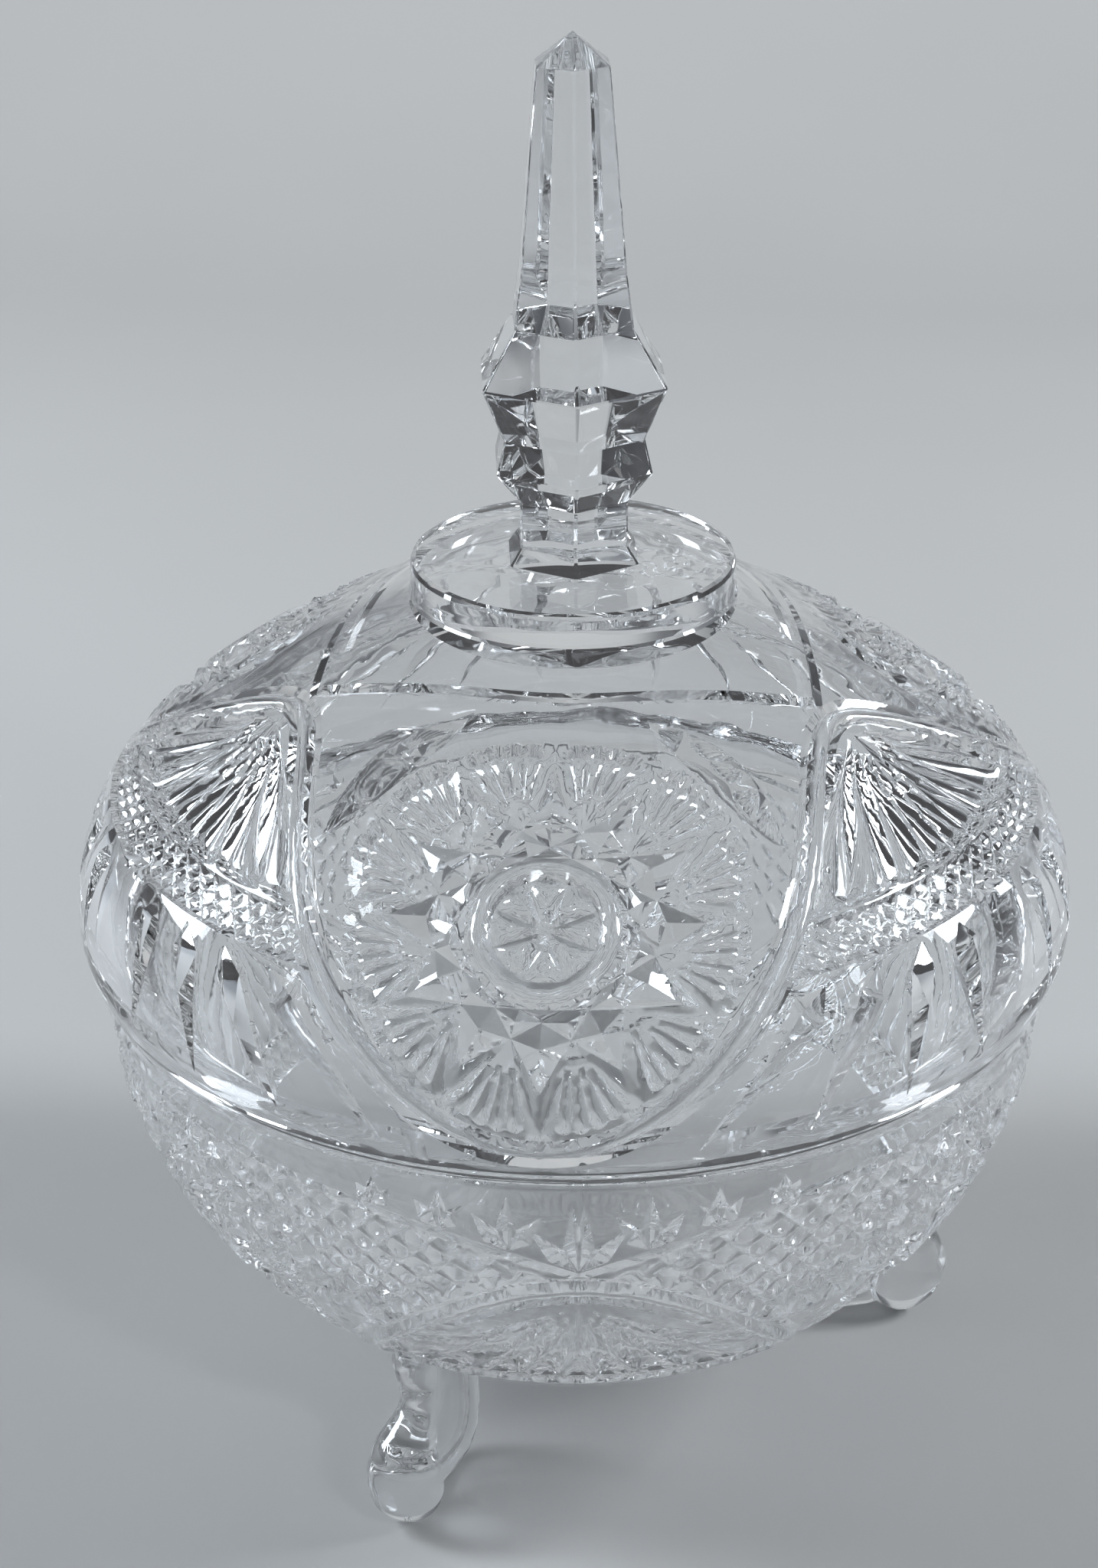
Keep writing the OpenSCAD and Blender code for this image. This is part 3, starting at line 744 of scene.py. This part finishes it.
def glass_mesh(name, skin, stacks, caps, angle=16):
    """Joins a cut skin, stacks of rings and end points into one closed mesh in metres."""
    points, faces = [skin[0]], [tuple(f) for f in skin[1]]
    count = len(skin[0])
    for rings in stacks:
        p, quads = strips(rings)
        faces += [tuple(f) for f in quads + count]
        points.append(p)
        count += len(p)
    for rim, end, flip in caps:
        points.append(np.concatenate([rim, [end]]))
        k = np.arange(len(rim))
        fan = np.stack([k, (k + 1) % len(rim), np.full_like(k, len(rim))], -1) + count
        faces += [tuple(f) for f in (fan[:, ::-1] if flip else fan)]
        count += len(rim) + 1
    points = np.concatenate(points)
    _, first, same = np.unique(np.round(points, 3), axis=0, return_index=True, return_inverse=True)
    same = same.reshape(-1)
    faces = [tuple(same[i] for i in f) for f in faces]
    mesh = bpy.data.meshes.new(name)
    mesh.from_pydata(points[first] * MM, [], [f for f in faces if len(set(f)) == len(f)])
    mesh.validate()
    mesh.set_sharp_from_angle(angle=math.radians(angle))
    ends = np.empty(len(mesh.edges) * 2, np.int64)
    mesh.edges.foreach_get("vertices", ends)
    ends = np.sort(ends.reshape(-1, 2), 1)
    total = len(first)
    on_skin_point = np.zeros(total, bool)
    on_skin_point[same[: len(skin[0])]] = True
    pairs = np.sort(same[skin[2]], 1)
    cut = np.isin(ends[:, 0] * total + ends[:, 1], pairs[:, 0] * total + pairs[:, 1])
    by_angle = np.zeros(len(ends), bool)
    mesh.attributes["sharp_edge"].data.foreach_get("value", by_angle)
    sharp = np.where(on_skin_point[ends].all(1), cut, by_angle)
    mesh.attributes["sharp_edge"].data.foreach_set("value", sharp)
    obj = bpy.data.objects.new(name, mesh)
    bpy.context.scene.collection.objects.link(obj)
    check = bmesh.new()
    check.from_mesh(mesh)
    open_edges = sum(not e.is_manifold for e in check.edges)
    volume = check.calc_volume(signed=True) * 1e6
    print("%s: %d faces, %d open edges, %.1f cm3" % (name, len(mesh.polygons), open_edges, volume))
    check.free()
    return obj


print("solids that the glass stands for:", len(frame["nodes"]))

# %% [markdown]
# ## The spire
# The knob is a six-sided stem of solid glass that swells twice and runs out to a point, standing on a round
# collar. It could be a lathe form with flats cut on it. Here it is a stack of hexagons, two close to each
# step, so that its facets stay flat and their edges narrow.

# %% Spire
COLLAR_H = 5.0
COLLAR_Z = LAND_Z + COLLAR_H
FINIAL_TURN = math.radians(6)
STEP_SHARE = 0.02
TIP_W, TIP_H, TIP_WORN = 1.2, 0.42, 0.03
# each step of the spire: height above the collar, width over the corners
SPIRE = ((0.0, 20.5), (2.4, 17.0), (8.9, 17.0), (13.6, 24.4), (18.3, 22.0),
         (25.85, 28.6), (33.4, 18.4), (41.1, 16.2), (67.4, 11.2))


def hexagon(width, z, chamfer=0.14):
    """A six-sided ring, its corners very slightly worn."""
    a = (TURN - FINIAL_TURN) % SIXTH - SIXTH / 2
    r = width / 2 * math.cos(SIXTH / 2) / np.cos(a)
    return ring(np.minimum(r, width / 2 - chamfer), z)


def spire_rings():
    """Hexagons just above and below each step of the spire, and one near the tip."""
    rings = []
    levels = [(COLLAR_Z + z, w) for z, w in SPIRE] + [(TIP_Z, 0.0)]
    for k, (z, w) in enumerate(levels[:-1]):
        for other in levels[max(k - 1, 0) : k] + [levels[k + 1]]:
            rings.append(hexagon(w + (other[1] - w) * STEP_SHARE, z + (other[0] - z) * STEP_SHARE))
    rings.append(hexagon(TIP_W, TIP_Z - TIP_H, TIP_WORN))
    return rings


spire = spire_rings()
print("spire of %d hexagons, %.1f mm high" % (len(spire), TIP_Z - COLLAR_Z))

# %% [markdown]
# ## The lid with its spire
# On the real lid the spire is fused on, and no seam shows in the glass. So lid, collar and spire become one
# closed skin here, and the light passes from one into the other as it does in the jar. A ring underneath
# drops into the bowl's mouth and keeps the lid in place.

# %% Lid
LID_LOW_V, LID_HIGH_V = LAND_END, 68.5
SEAT_GAP, SEAT_T, SEAT_ROUND, SEAT_BEVEL = 0.4, 2.6, 0.4, 0.5
EDGE_LIFT, EDGE_FLAT = 0.6, 0.9
RING_OUT = BOWL_R - WALL - SEAT_GAP
RING_IN = RING_OUT - SEAT_T
CEILING = (2.0, 12.0)
# in from the collar's side and off its lower or upper face
COLLAR_FOOT, COLLAR_EASE, COLLAR_ROUND = (0.05, 0.25), (0.25, 0.22), 0.8
COLLAR_LAND, COLLAR_CLEAR = 3.5, 0.002
edge_end = -math.asin((BELLY_Z - RIM_Z - EDGE_LIFT) / EDGE_R)
edge_r = LID_R - EDGE_R + EDGE_R * math.cos(edge_end)
outer_edge = arc_rings((LID_R - EDGE_R, BELLY_Z), EDGE_R, edge_end, LID_LOW_V / EDGE_R, 4)
under = [ring(RING_IN, RIM_Z), ring(RING_IN, RING_Z + SEAT_BEVEL), ring(RING_IN + SEAT_ROUND, RING_Z),
         ring(RING_OUT - SEAT_ROUND, RING_Z), ring(RING_OUT, RING_Z + SEAT_BEVEL), ring(RING_OUT, RIM_Z),
         ring(edge_r - EDGE_FLAT, RIM_Z)]
inner_shoulder = arc_rings((SHOULDER_C, BELLY_Z), SHOULDER_R - WALL, CROWN_TURN, 0, 40)
flat_z = LAND_Z - WALL
inner_end = math.asin((flat_z - CROWN_C[1]) / (CROWN_R - WALL))
inner_crown = arc_rings(CROWN_C, CROWN_R - WALL, inner_end, CROWN_TURN, 24)
inside = [ring(r, flat_z) for r in CEILING] + inner_crown + inner_shoulder[1:] + under
high_turn = CROWN_TURN + (LID_HIGH_V - SHOULDER_L) / CROWN_R
crown = arc_rings(CROWN_C, CROWN_R, high_turn, COLLAR_TURN - COLLAR_CLEAR, 5)
collar = [ring(COLLAR_R - COLLAR_FOOT[0], LAND_Z + COLLAR_FOOT[1]), ring(COLLAR_R, LAND_Z + COLLAR_ROUND),
          ring(COLLAR_R, COLLAR_Z - COLLAR_ROUND), ring(COLLAR_R - COLLAR_EASE[0], COLLAR_Z - COLLAR_EASE[1]),
          ring(COLLAR_R - COLLAR_ROUND, COLLAR_Z), ring(COLLAR_R - COLLAR_LAND, COLLAR_Z)]
outside = crown + collar + spire
lid_skin = turned_skin(lid_profile, STAR_V, LID_LOW_V, LID_HIGH_V, False)
lid = glass_mesh(
    "lid_glass",
    lid_skin,
    [inside + outer_edge, outside],
    [(inside[0], (0, 0, flat_z), True), (spire[-1], (0, 0, TIP_Z), False)],
)
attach(lid, "lid_body")
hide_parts("lid", "finial")

# %% [markdown]
# ## The bowl
# The bowl is made the same way: a cut skin outside, a smooth inside, and a rim that the fire has rounded.
# It ends a hair below the lid's edge, because two glass faces in the same place would confuse the light.

# %% Bowl
BOWL_LOW_V, BOWL_HIGH_V = -8.0, 67.4
BOWL_TURN = math.radians(64)
HAIR = 0.08
SEAT_Z = RIM_Z - HAIR
LIP_OUT, LIP_IN = 1.2, 1.0
CAP_R = 4.0
low_turn = float(bowl_profile(BOWL_LOW_V)[2])
base = arc_rings(BOWL_C, BOWL_CURVE, -math.pi / 2, low_turn, 14)
lip = arc_rings((BOWL_R - LIP_OUT, SEAT_Z - LIP_OUT), LIP_OUT, 0, math.pi / 2, 6)
lip += arc_rings((BOWL_R - WALL + LIP_IN, SEAT_Z - LIP_IN), LIP_IN, math.pi / 2, math.pi, 6)
inner_bowl = arc_rings(BOWL_C, BOWL_CURVE - WALL, 0, -math.pi / 2, 60)
skin_top = ring(BOWL_R, float(bowl_profile(BOWL_HIGH_V)[1]))
bowl_top = [skin_top] + lip + inner_bowl + [ring(CAP_R, UNDER_Z + WALL)]
bowl_base = [ring(CAP_R, UNDER_Z)] + base
bowl_skin = turned_skin(bowl_profile, BOWL_STAR_V, BOWL_LOW_V, BOWL_HIGH_V, True)
bowl = glass_mesh(
    "bowl_glass",
    bowl_skin,
    [bowl_base, bowl_top],
    [(bowl_base[0], (0, 0, UNDER_Z), True), (bowl_top[-1], (0, 0, UNDER_Z + WALL), False)],
)
bowl.data.transform(Matrix.Rotation(BOWL_TURN, 4, "Z"))
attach(bowl, "bowl_body")
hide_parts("bowl")

# %% [markdown]
# ## The scroll feet
# A foot is one soft gather of glass: an egg-shaped toe, a pinched knuckle, a shank that runs up into the
# bowl, and a thinner web behind it. It could be sculpted by hand, but strings of balls that a voxel remesh
# and some smoothing melt together give the same soft form from a few numbers.

# %% One foot
# each ball of a gather: distance out from the axis, height, radius
TOE = ((52.4, 4.9, 5.0), (53.6, 6.6, 5.4), (54.2, 9.0, 5.4),
       (53.6, 11.8, 4.9), (51.8, 14.4, 3.8), (49.8, 16.6, 2.9))
SHANK = ((49.8, 16.6, 2.9), (49.2, 19.2, 2.7), (49.3, 22.6, 3.0), (49.9, 26.5, 3.4))
KNUCKLE = ((47.6, 17.0, 2.4), (46.6, 18.4, 2.2))
HEEL = ((47.0, 2.6, 2.0), (42.0, 2.0, 1.9), (38.0, 2.3, 1.9), (35.8, 4.6, 1.9),
        (35.0, 8.0, 1.9), (35.2, 13.0, 1.9), (35.8, 18.5, 2.0))
WEB_IN, WEB_OUT, WEB_LOW, WEB_HALF, WEB_INTO = 35.2, 49.0, 2.0, 1.5, 1
VOXEL = 0.45


def underside(r):
    """Height of the bowl's outside above the floor at a distance from its axis."""
    return BOWL_C[1] - math.sqrt(BOWL_CURVE**2 - (r - BOWL_C[0]) ** 2)


def string_of_balls(bm, places, steps=7):
    """Adds overlapping balls along a run of (distance out, height, radius)."""
    places = np.array(places)
    for a, b in zip(places[:-1], places[1:]):
        for t in np.linspace(0, 1, steps):
            out, z, r = a + (b - a) * t
            bmesh.ops.create_icosphere(bm, subdivisions=3, radius=r, matrix=Matrix.Translation((out, 0, z)))


def foot_mesh(name, degrees):
    """One foot, turned about the jar's axis and flat where it stands."""
    bm = bmesh.new()
    for run in (TOE, SHANK, KNUCKLE, HEEL):
        string_of_balls(bm, run)
    web = bmesh.ops.create_cube(bm, size=1)["verts"]
    for v in web:
        out = (WEB_IN, WEB_OUT)[v.co.x > 0]
        v.co = Vector((out, v.co.y * 2 * WEB_HALF, underside(out) + WEB_INTO if v.co.z > 0 else WEB_LOW))
    for v in bm.verts:
        v.co *= MM
    mesh = bpy.data.meshes.new(name)
    bm.to_mesh(mesh)
    bm.free()
    obj = bpy.data.objects.new(name, mesh)
    bpy.context.scene.collection.objects.link(obj)
    melt = obj.modifiers.new("melt", "REMESH")
    melt.mode = "VOXEL"
    melt.voxel_size = VOXEL * MM
    soften = obj.modifiers.new("soften", "SMOOTH")
    soften.factor = 0.5
    soften.iterations = 14
    done = bpy.data.meshes.new_from_object(obj.evaluated_get(bpy.context.evaluated_depsgraph_get()))
    obj.modifiers.clear()
    obj.data = done
    co = np.empty(len(done.vertices) * 3)
    done.vertices.foreach_get("co", co)
    co = co.reshape(-1, 3)
    co[:, 2] = np.maximum(co[:, 2], 0)
    done.vertices.foreach_set("co", co.ravel())
    done.transform(Matrix.Rotation(math.radians(degrees - 90), 4, "Z"))
    done.shade_smooth()
    print(name, len(done.polygons), "faces")
    return obj


print("web is %.1f mm thick" % (2 * WEB_HALF))

# %% [markdown]
# ## Three of them
# The jar stands on three equal feet, so one form is made three times, a third of a turn apart. Each keeps
# its own name, because each stands for its own solid.

# %% Feet
FOOT_TURN = -23.5
FEET = ("front_foot", "right_foot", "rear_foot")
for k, node in enumerate(FEET):
    foot = foot_mesh(node + "_glass", FOOT_TURN + 360 / len(FEET) * k)
    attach(foot, "bowl_body")
    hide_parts(node)

# %% [markdown]
# ## Crystal
# Lead crystal is clear and bends light strongly. Blender's Glass shader would do for a picture, but the
# Principled shader with full transmission also keeps its values in an export, so it is used here. The faint
# waviness of a pressed surface comes from a fine bump, and a little haze from handling comes from a noise
# in the roughness.

# %% Crystal material


def crystal_material():
    """Clear lead crystal with a faint haze and sway."""
    mat = bpy.data.materials.new("crystal")
    mat.use_nodes = True
    nodes, links = mat.node_tree.nodes, mat.node_tree.links
    shader = nodes["Principled BSDF"]
    shader.inputs["Base Color"].default_value = (0.985, 0.99, 0.995, 1)
    shader.inputs["Transmission Weight"].default_value = 1.0
    shader.inputs["IOR"].default_value = 1.54
    where = nodes.new("ShaderNodeTexCoord")
    haze = nodes.new("ShaderNodeTexNoise")
    haze.inputs["Scale"].default_value = 60
    haze.inputs["Detail"].default_value = 4
    links.new(where.outputs["Object"], haze.inputs["Vector"])
    span = nodes.new("ShaderNodeMapRange")
    span.inputs["From Min"].default_value = 0.45
    span.inputs["From Max"].default_value = 0.8
    span.inputs["To Min"].default_value = 0.0
    span.inputs["To Max"].default_value = 0.05
    links.new(haze.outputs["Fac"], span.inputs["Value"])
    links.new(span.outputs["Result"], shader.inputs["Roughness"])
    sway = nodes.new("ShaderNodeTexNoise")
    sway.inputs["Scale"].default_value = 140
    sway.inputs["Detail"].default_value = 1
    links.new(where.outputs["Object"], sway.inputs["Vector"])
    bump = nodes.new("ShaderNodeBump")
    bump.inputs["Strength"].default_value = 0.12
    bump.inputs["Distance"].default_value = 0.0004
    links.new(sway.outputs["Fac"], bump.inputs["Height"])
    links.new(bump.outputs["Normal"], shader.inputs["Normal"])
    return mat


crystal = crystal_material()
glass = [obj for obj in bpy.data.objects if obj.name.endswith("_glass")]
for obj in glass:
    obj.data.materials.clear()
    obj.data.materials.append(crystal)
print("crystal on", [obj.name for obj in glass])

# %% [markdown]
# ## The paper
# A studio shows clear glass on pale paper in a dim room: the paper fills the glass with an even tone, the
# dim room draws dark lines along its edges, and lamps at both sides set the sparkle on the cuts. The paper
# is one sheet that bends up behind the jar. Towards its sides and in front its colour carries painted shade,
# darker as if the light fell off there, so that no hard border shows from any side.

# %% Paper
# the first colour is the paper's own tone; the second is painted shade that the paper darkens into at its
# sides and in front
PALE, PAINTED_SHADE = (0.43, 0.425, 0.415), (0.16, 0.16, 0.165)
GRAIN = 0.03
SHADE_SIDE, SHADE_FRONT = (0.29, 0.5), (-0.16, -0.42)
PAPER_HALF, PAPER_BACK, PAPER_TOP, PAPER_BEND = 0.95, 0.9, 0.75, 0.35


def paper_material():
    """Pale paper round the jar, with painted shade that darkens it towards its sides and front into the dim
    room.
    """
    mat = bpy.data.materials.new("pale_paper")
    mat.use_nodes = True
    nodes, links = mat.node_tree.nodes, mat.node_tree.links
    shader = nodes["Principled BSDF"]
    shader.inputs["Roughness"].default_value = 0.8
    where = nodes.new("ShaderNodeTexCoord")
    noise = nodes.new("ShaderNodeTexNoise")
    noise.inputs["Scale"].default_value = 9
    links.new(where.outputs["Object"], noise.inputs["Vector"])
    fibres = nodes.new("ShaderNodeValToRGB")
    for stop, tone in zip(fibres.color_ramp.elements, (1 - GRAIN, 1 + GRAIN)):
        stop.color = (*(c * tone for c in PALE), 1)
    links.new(noise.outputs["Fac"], fibres.inputs["Fac"])
    # painted shade: how far the paper is darkened, rising from nothing near the jar to full towards its sides
    # and its front edge
    parts = nodes.new("ShaderNodeSeparateXYZ")
    links.new(where.outputs["Object"], parts.inputs["Vector"])
    aside = nodes.new("ShaderNodeMath")
    aside.operation = "ABSOLUTE"
    links.new(parts.outputs["X"], aside.inputs[0])
    darker = nodes.new("ShaderNodeMath")
    darker.operation = "MAXIMUM"
    ways = (aside.outputs["Value"], SHADE_SIDE), (parts.outputs["Y"], SHADE_FRONT)
    for k, (way, (near, far)) in enumerate(ways):
        fall = nodes.new("ShaderNodeMapRange")
        fall.interpolation_type = "SMOOTHSTEP"
        fall.inputs["From Min"].default_value = near
        fall.inputs["From Max"].default_value = far
        links.new(way, fall.inputs["Value"])
        links.new(fall.outputs["Result"], darker.inputs[k])
    # mixes the paper's own tone with the painted shade colour
    mix = nodes.new("ShaderNodeMix")
    mix.data_type = "RGBA"
    pale, dim = (socket for socket in mix.inputs if socket.type == "RGBA")
    links.new(darker.outputs["Value"], mix.inputs["Factor"])
    links.new(fibres.outputs["Color"], pale)
    dim.default_value = (*PAINTED_SHADE, 1)
    links.new(next(socket for socket in mix.outputs if socket.type == "RGBA"), shader.inputs["Base Color"])
    return mat


def sweep():
    """A floor that bends up into a backdrop."""
    bm = bmesh.new()
    bend = np.linspace(0, math.pi / 2, 17)
    curve = [(PAPER_BACK + PAPER_BEND * (math.sin(a) - 1), PAPER_BEND * (1 - math.cos(a))) for a in bend]
    path = [(-PAPER_HALF, 0.0)] + curve + [(PAPER_BACK, PAPER_TOP)]
    rows = [[bm.verts.new((x, y, z)) for x in (-PAPER_HALF, PAPER_HALF)] for y, z in path]
    for a, b in zip(rows[:-1], rows[1:]):
        bm.faces.new((a[0], a[1], b[1], b[0]))
    mesh = bpy.data.meshes.new("sweep")
    bm.to_mesh(mesh)
    bm.free()
    mesh.shade_smooth()
    obj = bpy.data.objects.new("sweep", mesh)
    bpy.context.scene.collection.objects.link(obj)
    mesh.materials.append(paper_material())


sweep()
print("paper reaches %.2f m to each side" % PAPER_HALF)

# %% [markdown]
# ## Lamps
# Two upright lamps stand left and right, slightly behind the jar, so that their light runs along the cuts
# and no facet in front turns white. A small lamp in front adds points of sparkle, and the last one only
# brightens the backdrop.

# %% Lamps


def lamp(name, place, aim, size, power, colour=(1, 1, 1)):
    """A soft rectangular lamp, turned towards a point."""
    data = bpy.data.lights.new(name, "AREA")
    data.shape = "RECTANGLE"
    data.size, data.size_y = size
    data.energy = power
    data.color = colour
    obj = bpy.data.objects.new(name, data)
    bpy.context.scene.collection.objects.link(obj)
    obj.location = place
    obj.rotation_euler = (Vector(aim) - Vector(place)).to_track_quat("-Z", "Y").to_euler()


lamp("window", (-0.82, 0.08, 0.52), (0, 0, 0.1), (0.26, 0.6), 11, (0.84, 0.92, 1.0))
lamp("side", (0.82, 0.12, 0.5), (0, 0, 0.1), (0.2, 0.5), 9, (0.88, 0.94, 1.0))
lamp("front", (0.42, -0.6, 0.62), (0, 0, 0.08), (0.07, 0.07), 1.0, (0.9, 0.95, 1.0))
lamp("backdrop", (0, 0.25, 0.9), (0, 0.95, 0.72), (0.8, 0.2), 4.5)
world = bpy.data.worlds.new("room")
bpy.context.scene.world = world
world.use_nodes = True
world.node_tree.nodes["Background"].inputs["Color"].default_value = (0.4, 0.4, 0.42, 1)
world.node_tree.nodes["Background"].inputs["Strength"].default_value = 0.15

# %% [markdown]
# ## Camera
# The camera stands in front of the jar and looks down on it. Its place, its tilt and its focal length, in
# pixels of the picture, were found by fitting the ellipses of the lid's edge and of the collar, so the
# jar's outline falls in place. Light crosses many walls of glass here, so it may bounce more often than
# Blender allows by default.

# %% Camera
FOCAL_PX = 3600
IMAGE = (1434, 2048)
CAM_AWAY, CAM_UP = 357.5, 275.3
CAM_ROUND = math.radians(3.5)
BOUNCES = 24
PITCH, YAW, ROLL = (math.radians(a) for a in (26.706, -0.568, -0.344))

data = bpy.data.cameras.new("camera")
camera = bpy.data.objects.new("camera", data)
bpy.context.scene.collection.objects.link(camera)
bpy.context.scene.camera = camera
data.sensor_fit = "VERTICAL"
data.sensor_height = 24
data.lens = FOCAL_PX / IMAGE[1] * data.sensor_height
data.clip_start = 0.01
ahead = Vector((math.sin(YAW) * math.cos(PITCH), math.cos(YAW) * math.cos(PITCH), -math.sin(PITCH)))
right = ahead.cross(Vector((0, 0, 1))).normalized()
up = right.cross(ahead)
right, up = right * math.cos(ROLL) + up * math.sin(ROLL), up * math.cos(ROLL) - right * math.sin(ROLL)
pose = Matrix((right, up, -ahead)).transposed().to_4x4()
pose.translation = Vector((0, -CAM_AWAY, CAM_UP)) * MM
camera.matrix_world = Matrix.Rotation(CAM_ROUND, 4, "Z") @ pose
bpy.context.scene.view_settings.view_transform = "Standard"
cycles = bpy.context.scene.cycles
cycles.max_bounces = BOUNCES
cycles.transmission_bounces = BOUNCES
cycles.glossy_bounces = BOUNCES
cycles.transparent_max_bounces = BOUNCES
print("camera at", [round(c, 4) for c in camera.matrix_world.translation])
